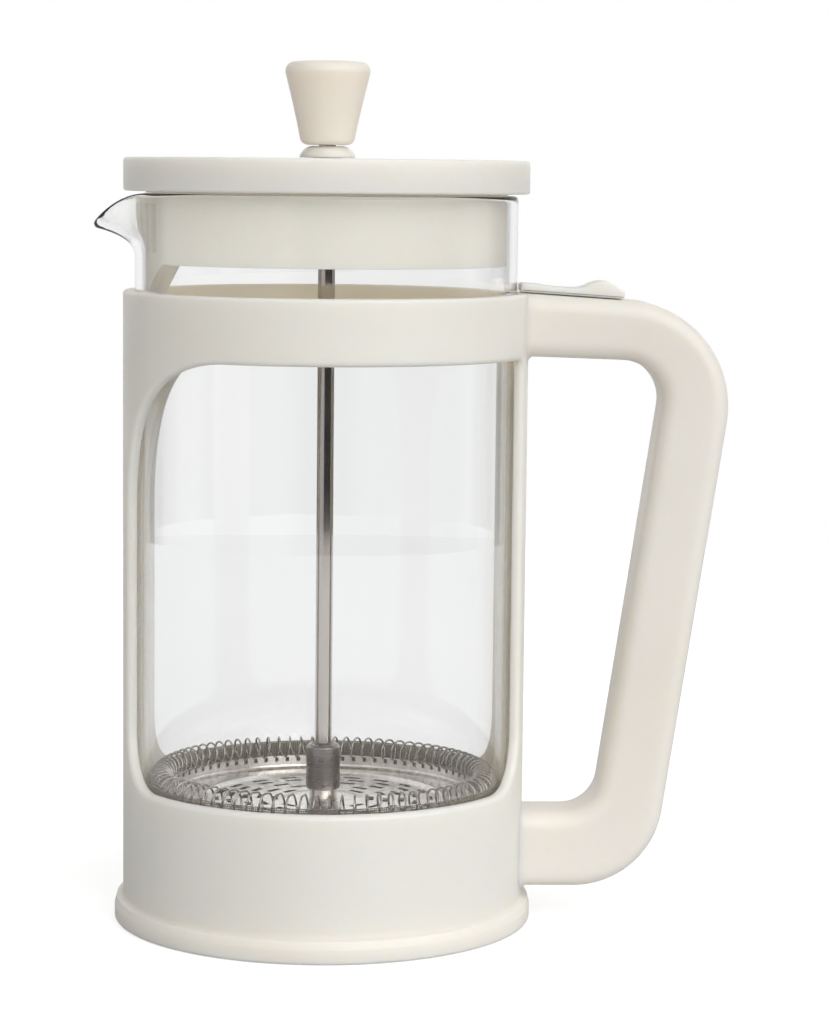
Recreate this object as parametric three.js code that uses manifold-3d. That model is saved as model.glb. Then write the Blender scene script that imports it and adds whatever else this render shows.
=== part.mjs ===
// A French press: a glass beaker in a moulded holder, with a lid and a plunger that carries the filter.
// Units are millimetres. +Z is up, +X points to the handle and -X to the spout.
// The origin is the centre of the holder's underside, on the surface that the press stands on.
import * as THREE from 'three';
import { mergeVertices } from 'three/addons/utils/BufferGeometryUtils.js';
import Module from 'manifold-3d';

const wasm = await Module();
wasm.setup();

const DEG = Math.PI / 180;
const GAP = 0.3;

// Driving dimensions.
const SEGMENTS = 48;
const GLASS_SEGMENTS = 64;
const SMALL_SEGMENTS = 24;

const FRAME_R = 52;
const FRAME_BORE_R = 49.4;
const FRAME_TOP = 163;
const FRAME_FLOOR = 4.5;
const FLANGE_R = 54.2;
const FLANGE_SHOULDER = 3.8;
const FLANGE_TOP = 7.4;
const BASE_PAD_R = 12;
const BASE_RING_R = 46;
const BASE_RECESS = 1.6;

const WINDOW_BOTTOM = 36.8;
const WINDOW_TOP = 146.6;
const WINDOW_HALF_ANGLE = 74.5 * DEG;
const WINDOW_LOWER_CORNER = 15;
const WINDOW_SPOUT_CORNER = 40;
const WINDOW_HANDLE_CORNER = 2.5;

const HANDLE_DEPTH = 20;
const HANDLE_ROUNDING = 3.6;
const HANDLE_TOP = 163;
const HANDLE_SLOPE = 3.58 * DEG;
const HANDLE_LEAN = 8.4 * DEG;

const LATCH_WIDTH = 12;
const LATCH_SLOT_START = 3.4;
const LATCH_SLOT_LENGTH = 20.4;
const LATCH_FOOT_START = 4;
const LATCH_FOOT_LENGTH = 11.4;
const LATCH_NECK_HALF = 2;
const LATCH_FOOT_HALF = 4;
const LATCH_FOOT_LOW = -4.6;
const LATCH_FOOT_HIGH = -2.7;
const LATCH_PLAY = 0.4;

const GLASS_R = 49;
const GLASS_WALL = 2.4;
const GLASS_TOP = 187.8;
const GLASS_FOOT = FRAME_FLOOR + GAP;
const GLASS_FLOOR = 7.8;
const SPOUT_START = 171;
const SPOUT_REACH = 10.6;
const SPOUT_DROP = 6.8;
const SPOUT_HALF_ANGLE = 12 * DEG;

const LID_R = 51.9;
const LID_BOTTOM = 188.15;
const LID_TOP = 196.65;
const LID_SHELL = 2.2;
const SKIRT_R = 46.2;
const SKIRT_WALL = 1.8;
const SKIRT_BOTTOM = 170;
const TONGUE_BOTTOM = 156;
const TONGUE_HALF_ANGLE = 30 * DEG;
const LID_HOLE_R = 4;

const ROD_R = 2.2;
const ROD_BOTTOM = 25.4;
const ROD_TOP = 212.6;
const BUSH_BORE_R = 2.45;
const KNOB_BOTTOM = 200.2;
const KNOB_TOP = 221.4;

const PLATE_TOP = 30.8;
const SHEET = 0.6;
const MESH_SHEET = 0.4;
const MESH_R = 46.25;
const MESH_TOP = 37.5;
const SPRING_RING_R = 42.1;
const SPRING_R = 3.5;
const SPRING_CENTRE = 36.6;

// Materials, one for each kind of finish.
const finish = (color, roughness, metalness) => () =>
  new THREE.MeshStandardMaterial({ color, roughness, metalness });
const cream = finish(0xe4dfd4, 0.45, 0);
const glossyCream = finish(0xe6e0d2, 0.25, 0);
const polishedSteel = finish(0x9a948e, 0.18, 1);
const brushedSteel = finish(0x6e655f, 0.38, 1);
const wovenSteel = finish(0x7c7468, 0.5, 1);
const brass = finish(0xb08d4a, 0.35, 1);
const clearGlass = () =>
  new THREE.MeshStandardMaterial({
    color: 0xeef3f4,
    roughness: 0.04,
    metalness: 0,
    transparent: true,
    opacity: 0.3,
  });

// A three.js geometry as a solid that can be joined and cut.
function solid(geometry) {
  const bare = geometry.clone();
  bare.deleteAttribute('normal');
  bare.deleteAttribute('uv');
  const merged = mergeVertices(bare, 1e-4);
  return new wasm.Manifold(
    new wasm.Mesh({
      numProp: 3,
      vertProperties: new Float32Array(merged.attributes.position.array),
      triVerts: new Uint32Array(merged.index.array),
    }),
  );
}

function geometryOf(body) {
  const mesh = body.getMesh();
  const geometry = new THREE.BufferGeometry();
  geometry.setAttribute('position', new THREE.BufferAttribute(mesh.vertProperties, 3));
  geometry.setIndex(new THREE.BufferAttribute(mesh.triVerts, 1));
  geometry.computeVertexNormals();
  return geometry;
}

function part(name, shape, material) {
  const geometry = shape instanceof wasm.Manifold ? geometryOf(shape) : shape;
  const mesh = new THREE.Mesh(geometry, material());
  mesh.name = name;
  return mesh;
}

// Points of an arc in a profile's own plane, both ends included.
function arc(x, y, radius, from, to, steps) {
  const points = [];
  for (let i = 0; i <= steps; i++) {
    const angle = (from + ((to - from) * i) / steps) * DEG;
    points.push([x + radius * Math.cos(angle), y + radius * Math.sin(angle)]);
  }
  return points;
}

// A body of revolution about Z. A profile runs counter-clockwise, radius to the right and height upwards,
// and either starts and ends on the axis or closes on itself.
function turned(profile, segments = SEGMENTS) {
  const points = profile.map(([r, z]) => new THREE.Vector2(r, z));
  const onAxis = profile[0][0] === 0 && profile[profile.length - 1][0] === 0;
  if (!onAxis) points.push(points[0].clone());
  return new THREE.LatheGeometry(points, segments).rotateX(Math.PI / 2);
}

function tube(innerR, outerR, bottom, top, segments = SMALL_SEGMENTS) {
  const profile = [
    [innerR, bottom],
    [outerR, bottom],
    [outerR, top],
    [innerR, top],
  ];
  return turned(profile, segments);
}

function disc(radius, bottom, top, segments = SMALL_SEGMENTS) {
  const profile = [
    [0, bottom],
    [radius, bottom],
    [radius, top],
    [0, top],
  ];
  return turned(profile, segments);
}

function box(x0, x1, y0, y1, z0, z1) {
  const geometry = new THREE.BoxGeometry(x1 - x0, y1 - y0, z1 - z0);
  return geometry.translate((x0 + x1) / 2, (y0 + y1) / 2, (z0 + z1) / 2);
}

// An outline in the XZ plane, given a depth along Y about the middle plane and rounded edges.
function slab(shape, depth, rounding, steps) {
  const geometry = new THREE.ExtrudeGeometry(shape, {
    depth: depth - 2 * rounding,
    curveSegments: 8,
    bevelEnabled: true,
    bevelThickness: rounding,
    bevelSize: rounding,
    bevelOffset: -rounding,
    bevelSegments: steps,
  });
  return geometry.rotateX(Math.PI / 2).translate(0, depth / 2 - rounding, 0);
}

// A curved block between two radii. Each station has an angle, a lower height and an upper height.
function curvedBlock(stations, innerR, outerR, closed) {
  const positions = [];
  const index = [];
  for (const { angle, low, high } of stations) {
    const corners = [
      [innerR, low],
      [outerR, low],
      [outerR, high],
      [innerR, high],
    ];
    for (const [r, z] of corners) positions.push(r * Math.cos(angle), r * Math.sin(angle), z);
  }
  const spans = closed ? stations.length : stations.length - 1;
  for (let i = 0; i < spans; i++) {
    const here = 4 * i;
    const next = 4 * ((i + 1) % stations.length);
    for (let k = 0; k < 4; k++) {
      const l = (k + 1) % 4;
      index.push(here + k, next + l, here + l);
      index.push(here + k, next + k, next + l);
    }
  }
  if (!closed) {
    const last = 4 * (stations.length - 1);
    index.push(0, 1, 2, 0, 2, 3);
    index.push(last, last + 2, last + 1, last, last + 3, last + 2);
  }
  const geometry = new THREE.BufferGeometry();
  geometry.setAttribute('position', new THREE.Float32BufferAttribute(positions, 3));
  geometry.setIndex(index);
  return geometry;
}

// How far a rounded corner's edge stands in from the straight edge, at a distance from the corner's side.
function cornerInset(distance, radius) {
  if (distance >= radius) return 0;
  return radius - Math.sqrt(radius * radius - (radius - distance) ** 2);
}

// The opening between the two posts. side is -1 for the front window and +1 for the rear one.
function windowBlock(side) {
  const meanR = (FRAME_R + FRAME_BORE_R) / 2;
  const halfWidth = WINDOW_HALF_ANGLE * meanR;
  const count = 40;
  const stations = [];
  for (let i = 0; i <= count; i++) {
    const along = -halfWidth * Math.cos((Math.PI * i) / count);
    const toSpout = along + halfWidth;
    const toHandle = halfWidth - along;
    const lower = cornerInset(Math.min(toSpout, toHandle), WINDOW_LOWER_CORNER);
    const upper =
      cornerInset(toSpout, WINDOW_SPOUT_CORNER) + cornerInset(toHandle, WINDOW_HANDLE_CORNER);
    const angle = -90 * DEG + along / meanR;
    stations.push({ angle: -side * angle, low: WINDOW_BOTTOM + lower, high: WINDOW_TOP - upper });
  }
  if (side > 0) stations.reverse();
  return solid(curvedBlock(stations, FRAME_BORE_R - 2, FLANGE_R + 2, false));
}

function holderFrame() {
  const floorCornerR = 6;
  const profile = [
    [0, 0],
    [BASE_PAD_R, 0],
    [BASE_PAD_R + BASE_RECESS, BASE_RECESS],
    [BASE_RING_R, BASE_RECESS],
    [BASE_RING_R + BASE_RECESS, 0],
    ...arc(FLANGE_R - 1, 1, 1, -90, 0, 3),
    [FLANGE_R, FLANGE_SHOULDER - 1],
    [FLANGE_R - 0.3, FLANGE_SHOULDER + 0.2],
    ...arc(FRAME_R + 1.6, FLANGE_TOP, 1.6, 270, 180, 3),
    ...arc(FRAME_R - 0.8, FRAME_TOP - 0.8, 0.8, 0, 90, 3),
    [FRAME_BORE_R + 0.5, FRAME_TOP],
    [FRAME_BORE_R, FRAME_TOP - 0.5],
    ...arc(FRAME_BORE_R - floorCornerR, FRAME_FLOOR + floorCornerR, floorCornerR, 0, -90, 4),
    [0, FRAME_FLOOR],
  ];
  return solid(turned(profile)).subtract(windowBlock(-1)).subtract(windowBlock(1));
}

// The latch and its slot lie along the handle's sloping top. This puts a shape made on the XY plane there.
function onHandleTop(geometry) {
  return geometry.rotateY(HANDLE_SLOPE).translate(FRAME_R, 0, HANDLE_TOP);
}

function handle() {
  const rootX = FRAME_R - 7;
  const lean = -HANDLE_LEAN;
  const outerTop = { x: 76, z: 134.2, r: 27.3 };
  const outerFoot = { x: 65.2, z: 32.4, r: 23.2 };
  const innerFoot = { x: 62.4, z: 38.2, r: 9.5 };
  const innerTop = { x: 75.6, z: 135.8, r: 10.5 };
  const shape = new THREE.Shape();
  shape.moveTo(rootX, HANDLE_TOP + (FRAME_R - rootX) * Math.tan(HANDLE_SLOPE));
  shape.lineTo(outerTop.x, HANDLE_TOP - (outerTop.x - FRAME_R) * Math.tan(HANDLE_SLOPE));
  shape.absarc(outerTop.x, outerTop.z, outerTop.r, 86 * DEG, lean, true);
  shape.absarc(outerFoot.x, outerFoot.z, outerFoot.r, lean, -90 * DEG, true);
  shape.lineTo(rootX, outerFoot.z - outerFoot.r);
  shape.lineTo(rootX, innerFoot.z - innerFoot.r);
  shape.absarc(innerFoot.x, innerFoot.z, innerFoot.r, -90 * DEG, lean, false);
  shape.absarc(innerTop.x, innerTop.z, innerTop.r, lean, 90 * DEG, false);
  shape.lineTo(rootX, innerTop.z + innerTop.r + 0.9);
  const loop = solid(slab(shape, HANDLE_DEPTH, HANDLE_ROUNDING, 2));
  const wall = solid(disc(FRAME_R + GAP, -10, FRAME_TOP + 10, SEGMENTS));
  const slotEnd = LATCH_SLOT_START + LATCH_SLOT_LENGTH;
  const neckHalf = LATCH_NECK_HALF + LATCH_PLAY;
  const footHalf = LATCH_FOOT_HALF + LATCH_PLAY;
  const footLow = LATCH_FOOT_LOW - LATCH_PLAY;
  const footHigh = LATCH_FOOT_HIGH + LATCH_PLAY;
  const neck = solid(
    onHandleTop(box(LATCH_SLOT_START, slotEnd, -neckHalf, neckHalf, footHigh - GAP, 2)),
  );
  const foot = solid(
    onHandleTop(box(LATCH_SLOT_START, slotEnd, -footHalf, footHalf, footLow, footHigh)),
  );
  return loop.subtract(wall).subtract(neck).subtract(foot);
}

function beakerLatch() {
  const underside = GAP;
  const noseX = GLASS_R + 0.5 - FRAME_R;
  const shape = new THREE.Shape();
  shape.moveTo(noseX, underside);
  shape.lineTo(24.2, underside);
  shape.lineTo(24.3, 1.6);
  shape.splineThru([
    new THREE.Vector2(22.8, 2.9),
    new THREE.Vector2(20.6, 4.1),
    new THREE.Vector2(18.4, 4.4),
    new THREE.Vector2(15.8, 3.7),
    new THREE.Vector2(13.9, 2.6),
    new THREE.Vector2(11.8, 2.2),
  ]);
  shape.lineTo(4.9, 2.1);
  shape.lineTo(3.4, 2.4);
  shape.lineTo(noseX, 2.45);
  const top = solid(onHandleTop(slab(shape, LATCH_WIDTH, 0.5, 1)));
  const footEnd = LATCH_FOOT_START + LATCH_FOOT_LENGTH;
  const neck = solid(
    onHandleTop(
      box(LATCH_FOOT_START, footEnd, -LATCH_NECK_HALF, LATCH_NECK_HALF, LATCH_FOOT_HIGH - GAP, 1),
    ),
  );
  const foot = solid(
    onHandleTop(
      box(LATCH_FOOT_START, footEnd, -LATCH_FOOT_HALF, LATCH_FOOT_HALF, LATCH_FOOT_LOW, LATCH_FOOT_HIGH),
    ),
  );
  return top.add(neck).add(foot);
}

// Bends the beaker's upright wall out and over into the spout, at its full thickness. The bend is
// deepest at the middle of the spout and fades to either side.
function pinchSpout(geometry) {
  const position = geometry.getAttribute('position');
  const middleR = GLASS_R - GLASS_WALL / 2;
  const run = GLASS_TOP - GLASS_WALL / 2 - SPOUT_START;
  for (let i = 0; i < position.count; i++) {
    const [x, y] = [position.getX(i), position.getY(i)];
    const up = position.getZ(i) - SPOUT_START;
    if (up <= 0 || x >= 0) continue;
    const rise = Math.min(1, up / run);
    const beyond = Math.max(0, up - run);
    const aside = Math.atan2(Math.abs(y), -x) / SPOUT_HALF_ANGLE;
    const share = Math.exp(-aside * aside);
    const reach = SPOUT_REACH * share;
    const drop = SPOUT_DROP * share ** 1.4;
    const along = new THREE.Vector2(2 * reach * rise, run - 1.5 * drop * rise ** 0.5).normalize();
    const offset = Math.hypot(x, y) - middleR;
    const radius = middleR + reach * rise ** 2 + along.y * offset + along.x * beyond;
    const lowered = drop * rise ** 1.5 + along.x * offset;
    const scale = radius / Math.hypot(x, y);
    position.setXYZ(i, x * scale, y * scale, SPOUT_START + run * rise - lowered + along.y * beyond);
  }
  return geometry;
}

function glassBeaker() {
  const innerR = GLASS_R - GLASS_WALL;
  const lipR = GLASS_WALL / 2;
  const footCornerR = 9;
  const floorCornerR = 7.5;
  const wall = [0.3, 0.52, 0.7, 0.86].map(
    (share) => SPOUT_START + share * (GLASS_TOP - SPOUT_START),
  );
  const profile = [
    [0, GLASS_FOOT + 1],
    [GLASS_R - footCornerR - 4, GLASS_FOOT],
    ...arc(GLASS_R - footCornerR, GLASS_FOOT + footCornerR, footCornerR, -90, 0, 3),
    [GLASS_R, SPOUT_START],
    ...wall.map((z) => [GLASS_R, z]),
    ...arc(innerR + lipR, GLASS_TOP - lipR, lipR, 0, 180, 3),
    ...wall.reverse().map((z) => [innerR, z]),
    [innerR, SPOUT_START],
    ...arc(innerR - floorCornerR, GLASS_FLOOR + floorCornerR, floorCornerR, 0, -90, 3),
    [0, GLASS_FLOOR + 0.6],
  ];
  return pinchSpout(turned(profile, GLASS_SEGMENTS));
}

function lidCap() {
  const profile = [
    [LID_R - LID_SHELL, LID_BOTTOM],
    [LID_R - 0.4, LID_BOTTOM],
    [LID_R, LID_BOTTOM + 0.4],
    ...arc(LID_R - 0.8, LID_TOP - 0.8, 0.8, 0, 90, 3),
    [LID_HOLE_R, LID_TOP],
    [LID_HOLE_R, LID_TOP - LID_SHELL],
    [LID_R - LID_SHELL, LID_TOP - LID_SHELL],
  ];
  return turned(profile);
}

// The skirt's lower edge is level, except at the spout, where it runs down into a rounded tongue.
function skirtTrim() {
  const stations = [];
  for (let i = 0; i < SEGMENTS; i++) {
    const angle = (i / SEGMENTS) * 360 * DEG;
    const aside = Math.min(Math.abs(angle - Math.PI) / TONGUE_HALF_ANGLE, 1);
    const edge = TONGUE_BOTTOM + (SKIRT_BOTTOM - TONGUE_BOTTOM) * aside ** 1.6;
    stations.push({ angle, low: TONGUE_BOTTOM - 5, high: edge });
  }
  return solid(curvedBlock(stations, SKIRT_R - SKIRT_WALL - 3, SKIRT_R + 3, true));
}

function lidStrainer() {
  const flangeR = LID_R - LID_SHELL - 0.4;
  const flangeTop = LID_BOTTOM + 2;
  const innerR = SKIRT_R - SKIRT_WALL;
  const profile = [
    [innerR, TONGUE_BOTTOM - 1],
    [SKIRT_R, TONGUE_BOTTOM - 1],
    [SKIRT_R, LID_BOTTOM],
    [flangeR, LID_BOTTOM],
    [flangeR, flangeTop],
    [LID_HOLE_R, flangeTop],
    [LID_HOLE_R, LID_BOTTOM],
    [innerR, LID_BOTTOM],
  ];
  let body = solid(turned(profile)).subtract(skirtTrim());
  for (let i = -4; i <= 4; i++) {
    const slot = box(-SKIRT_R - 2, -innerR + 2, -1.2, 1.2, SKIRT_BOTTOM + 3, LID_BOTTOM - 3);
    body = body.subtract(solid(slot.rotateZ(i * 6.2 * DEG)));
  }
  return body;
}

function lidBush() {
  const stemR = LID_HOLE_R - GAP;
  const profile = [
    [BUSH_BORE_R, 184.4],
    [stemR - 0.4, 184.4],
    [stemR, 184.8],
    [stemR, LID_TOP + GAP],
    [7.1, LID_TOP + GAP],
    [7.1, LID_TOP + 0.6],
    [6.7, LID_TOP + 1.6],
    [5.8, LID_TOP + 2.6],
    [4.8, LID_TOP + 3.2],
    [BUSH_BORE_R, LID_TOP + 3.25],
  ];
  return turned(profile, SMALL_SEGMENTS);
}

function lidNut() {
  const outerR = 7.6;
  const bottom = LID_BOTTOM - 3.3;
  const profile = [
    [LID_HOLE_R, bottom],
    [outerR - 0.4, bottom],
    [outerR, bottom + 0.4],
    [outerR, LID_BOTTOM - GAP],
    [LID_HOLE_R, LID_BOTTOM - GAP],
  ];
  return turned(profile, SMALL_SEGMENTS);
}

function knob() {
  const cavityR = 3.8;
  const cavityTop = 213.8;
  const profile = [
    [0, cavityTop],
    [cavityR, cavityTop],
    [cavityR, KNOB_BOTTOM],
    ...arc(5.05, KNOB_BOTTOM + 2, 2, -90, -12, 2),
    ...arc(8.45, KNOB_TOP - 2.6, 2.4, -12, 82, 3),
    [0, KNOB_TOP],
  ];
  return turned(profile);
}

function spiralPlate() {
  const bottom = PLATE_TOP - SHEET;
  const rimR = SPRING_RING_R + 0.3;
  const rimTop = 34.8;
  const beadR = 31.5;
  const profile = [
    [2.5, bottom],
    [beadR - 1, bottom],
    [beadR, bottom + 0.7],
    [beadR + 1, bottom],
    [rimR - 1, bottom],
    [rimR, bottom + 1],
    [rimR, rimTop],
    [rimR - SHEET, rimTop],
    [rimR - SHEET, PLATE_TOP + 0.8],
    [rimR - SHEET - 0.8, PLATE_TOP],
    [beadR + 1.2, PLATE_TOP],
    [beadR, PLATE_TOP + 0.8],
    [beadR - 1.2, PLATE_TOP],
    [2.5, PLATE_TOP],
  ];
  let body = solid(turned(profile));
  const rings = [
    { radius: 12.5, count: 6, twist: 0 },
    { radius: 19, count: 6, twist: 20 },
    { radius: 25.5, count: 6, twist: 40 },
  ];
  for (const { radius, count, twist } of rings) {
    for (let i = 0; i < count; i++) {
      const slot = box(radius - 0.8, radius + 0.8, -2.4, 2.4, bottom - 1, PLATE_TOP + 1);
      body = body.subtract(solid(slot.rotateZ((twist + (i * 360) / count) * DEG)));
    }
  }
  return body;
}

// The coil's envelope: a ring with a C-shaped section, open below where it hangs over the plate's rim.
function rimSpring() {
  const wall = 1.6;
  const profile = [
    ...arc(SPRING_RING_R, SPRING_CENTRE, SPRING_R, -60, 240, 8),
    ...arc(SPRING_RING_R, SPRING_CENTRE, SPRING_R - wall, 240, -60, 5),
  ];
  return turned(profile);
}

function filterMesh() {
  const top = PLATE_TOP - SHEET - GAP;
  const bottom = top - MESH_SHEET;
  const innerR = MESH_R - MESH_SHEET;
  const bend = 1.2;
  const profile = [
    [2.5, bottom],
    [MESH_R - bend, bottom],
    [MESH_R, bottom + bend],
    [MESH_R, MESH_TOP],
    [innerR, MESH_TOP],
    [innerR, top + bend - MESH_SHEET],
    [innerR - bend + MESH_SHEET, top],
    [2.5, top],
  ];
  return turned(profile);
}

function crossPlate() {
  const top = PLATE_TOP - SHEET - MESH_SHEET - 2 * GAP;
  const bottom = top - SHEET;
  let body = solid(tube(2.5, 41, bottom, top, SEGMENTS));
  const openings = 6;
  for (let i = 0; i < openings; i++) {
    const middle = (i + 0.5) * (360 / openings) * DEG;
    const stations = [];
    for (let k = -3; k <= 3; k++) {
      stations.push({ angle: middle + k * 7.3 * DEG, low: bottom - 1, high: top + 1 });
    }
    body = body.subtract(solid(curvedBlock(stations, 12, 36, false)));
  }
  return body;
}

function crossBoss() {
  const top = PLATE_TOP - 2 * SHEET - MESH_SHEET - 3 * GAP;
  const bottom = top - 4;
  const profile = [
    [0, bottom],
    [4.4, bottom],
    [5, bottom + 0.6],
    [5, top],
    [2.5, top],
    [2.5, bottom + 0.8],
    [0, bottom + 0.8],
  ];
  return turned(profile, SMALL_SEGMENTS);
}

function hubSleeve() {
  const neckTop = 33.6;
  const top = 45.4;
  const profile = [
    [2.5, PLATE_TOP + GAP],
    [3.6, PLATE_TOP + GAP],
    [3.6, neckTop],
    [4.42, neckTop],
    [4.42, top - 0.8],
    [3.6, top],
    [2.5, top],
  ];
  return turned(profile, SMALL_SEGMENTS);
}

function pressGroup() {
  const holder = new THREE.Group();
  holder.add(part('holder_frame', holderFrame(), cream));
  holder.add(part('handle', handle(), cream));
  holder.add(part('beaker_latch', beakerLatch(), cream));

  const beaker = new THREE.Group();
  beaker.add(part('glass_beaker', glassBeaker(), clearGlass));

  const lid = new THREE.Group();
  lid.add(part('lid_cap', lidCap(), cream));
  lid.add(part('lid_strainer', lidStrainer(), cream));
  lid.add(part('lid_bush', lidBush(), glossyCream));
  lid.add(part('lid_nut', lidNut(), cream));

  const plunger = new THREE.Group();
  plunger.add(part('knob', knob(), cream));
  plunger.add(part('knob_insert', tube(2.5, 3.5, KNOB_BOTTOM + GAP, 213.4), brass));
  plunger.add(part('plunger_rod', disc(ROD_R, ROD_BOTTOM, ROD_TOP), polishedSteel));
  plunger.add(part('hub_sleeve', hubSleeve(), brushedSteel));
  plunger.add(part('spiral_plate', spiralPlate(), polishedSteel));
  plunger.add(part('rim_spring', rimSpring(), brushedSteel));
  plunger.add(part('filter_mesh', filterMesh(), wovenSteel));
  plunger.add(part('cross_plate', crossPlate(), polishedSteel));
  plunger.add(part('cross_boss', crossBoss(), brushedSteel));

  const press = new THREE.Group();
  press.add(holder, beaker, lid, plunger);
  return press;
}

export default pressGroup();
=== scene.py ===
"""A French press: a glass beaker in a moulded cream holder, with a lid and a filter plunger.

Lengths are in millimetres until a mesh is made, and metres after that.
+Z is up, +X points to the handle and -X to the spout.
"""

from math import atan2, cos, exp, hypot, pi, radians, sin, sqrt, tan

import bmesh
import bpy
from mathutils import Matrix, Vector
from mathutils.geometry import delaunay_2d_cdt


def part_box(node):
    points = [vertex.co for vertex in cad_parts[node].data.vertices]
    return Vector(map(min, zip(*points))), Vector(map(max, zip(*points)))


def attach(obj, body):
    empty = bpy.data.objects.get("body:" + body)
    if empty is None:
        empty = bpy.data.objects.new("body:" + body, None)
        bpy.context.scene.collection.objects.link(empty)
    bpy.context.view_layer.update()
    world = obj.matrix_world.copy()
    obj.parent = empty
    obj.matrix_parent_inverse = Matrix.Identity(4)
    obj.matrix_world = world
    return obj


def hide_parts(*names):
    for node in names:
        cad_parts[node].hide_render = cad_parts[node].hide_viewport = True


MM = 0.001
WELD = 3e-7
TAU = 2 * pi
QUARTER = radians(90)

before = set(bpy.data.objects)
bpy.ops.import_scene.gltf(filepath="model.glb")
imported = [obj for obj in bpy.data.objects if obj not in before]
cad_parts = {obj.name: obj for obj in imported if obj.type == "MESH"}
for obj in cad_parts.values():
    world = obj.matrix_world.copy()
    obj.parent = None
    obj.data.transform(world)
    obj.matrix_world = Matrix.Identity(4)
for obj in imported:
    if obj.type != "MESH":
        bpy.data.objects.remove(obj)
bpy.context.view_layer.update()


def mm_box(node):
    """A CAD node's lowest and highest corners in millimetres."""
    low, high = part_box(node)
    return low / MM, high / MM


# ---------- shapes in general


def between(low, high, parts):
    """Evenly spaced values from low to high."""
    return [low + (high - low) * i / parts for i in range(parts + 1)]


def on_arc(a, b, radius, angle):
    """The point of a circle about (a, b) at an angle in degrees."""
    turn = radians(angle)
    return (a + radius * cos(turn), b + radius * sin(turn))


def arc(a, b, radius, start, end, steps):
    """Points of an arc about (a, b), from one angle in degrees to another."""
    return [on_arc(a, b, radius, angle) for angle in between(start, end, steps)]


def around(radius, angle, height):
    """A point at a radius and an angle about Z."""
    return (radius * cos(angle), radius * sin(angle), height)


def rounded(corners, steps=5, closed=False):
    """A polyline whose corners (a, b, radius) are rounded. The ends of an open one stay sharp."""
    points = []
    for i, (a, b, radius) in enumerate(corners):
        at_end = not closed and i in (0, len(corners) - 1)
        if radius == 0 or at_end:
            points.append((a, b))
            continue
        here = Vector((a, b))
        back = (Vector(corners[i - 1][:2]) - here).normalized()
        ahead = (Vector(corners[(i + 1) % len(corners)][:2]) - here).normalized()
        half = back.angle(ahead) / 2
        centre = here + (back + ahead).normalized() * (radius / sin(half))
        start = here + back * (radius / tan(half)) - centre
        end = here + ahead * (radius / tan(half)) - centre
        first = atan2(start.y, start.x)
        sweep = (atan2(end.y, end.x) - first + pi) % TAU - pi
        for k in range(steps + 1):
            x, y, _ = around(radius, first + sweep * k / steps, 0)
            points.append((centre.x + x, centre.y + y))
    return points


def oblong(left, right, bottom, top, radii, steps):
    """A rectangle with rounded corners. The radii run counter-clockwise from the lower left."""
    corners = [(left, bottom), (right, bottom), (right, top), (left, top)]
    return rounded([(*corner, r) for corner, r in zip(corners, radii)], steps, closed=True)


def heading(path, k):
    """The direction of a path of (a, b) points at one of them."""
    before, after = path[max(k - 1, 0)], path[min(k + 1, len(path) - 1)]
    return Vector((after[0] - before[0], after[1] - before[1])).normalized()


def lathe(profile, steps=192, closed=True):
    """Points and faces of a (radius, height) profile turned about Z."""
    points, faces, rings = [], [], []
    for radius, height in profile:
        first = len(points)
        if radius < 1e-6:
            points.append((0.0, 0.0, height))
            rings.append([first] * steps)
            continue
        points += [around(radius, TAU * i / steps - pi, height) for i in range(steps)]
        rings.append(list(range(first, first + steps)))
    following = rings[1:] + rings[:1] if closed else rings[1:]
    for lower, upper in zip(rings, following):
        for i in range(steps):
            j = (i + 1) % steps
            face = list(dict.fromkeys([lower[i], lower[j], upper[j], upper[i]]))
            if len(face) > 2:
                faces.append(face)
    return points, faces


def bridge(loops, closed_loops=True, join_ends=False, capped=False):
    """Points and faces between loops that have the same number of points."""
    points = [p for loop in loops for p in loop]
    count = len(loops[0])
    rows = len(loops) if join_ends else len(loops) - 1
    spans = count if closed_loops else count - 1
    faces = []
    for r in range(rows):
        here, there = r * count, ((r + 1) % len(loops)) * count
        for i in range(spans):
            j = (i + 1) % count
            faces.append([here + i, here + j, there + j, there + i])
    if capped:
        faces.append(list(range(count)))
        faces.append(list(reversed(range(len(points) - count, len(points)))))
    return points, faces


def joined(*shapes):
    """Several (points, faces) shapes as one."""
    points, faces = [], []
    for more_points, more_faces in shapes:
        first = len(points)
        points += list(more_points)
        faces += [[first + i for i in face] for face in more_faces]
    return points, faces


def cells(us, vs, is_solid, place):
    """A thick sheet made of cells, with its walls. us wraps round to its first value.

    place(u, v, side) gives a point, with side 0 for one face of the sheet and 1 for the other.
    """
    columns, rows = len(us) - 1, len(vs) - 1
    points, index, faces = [], {}, []

    def corner(i, j, side):
        key = (i % columns, j, side)
        if key not in index:
            index[key] = len(points)
            points.append(place(us[i % columns], vs[j], side))
        return index[key]

    def filled(i, j):
        return 0 <= j < rows and is_solid(i % columns, j)

    for i in range(columns):
        for j in range(rows):
            if not filled(i, j):
                continue
            ring = [(i, j), (i + 1, j), (i + 1, j + 1), (i, j + 1)]
            faces.append([corner(a, b, 0) for a, b in ring])
            faces.append([corner(a, b, 1) for a, b in reversed(ring)])
            sides = [(i, j - 1), (i + 1, j), (i, j + 1), (i - 1, j)]
            for k, (a, b) in enumerate(sides):
                if not filled(a, b):
                    one, two = ring[k], ring[(k + 1) % 4]
                    wall = [(*two, 0), (*one, 0), (*one, 1), (*two, 1)]
                    faces.append([corner(*end) for end in wall])
    return points, faces


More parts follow.
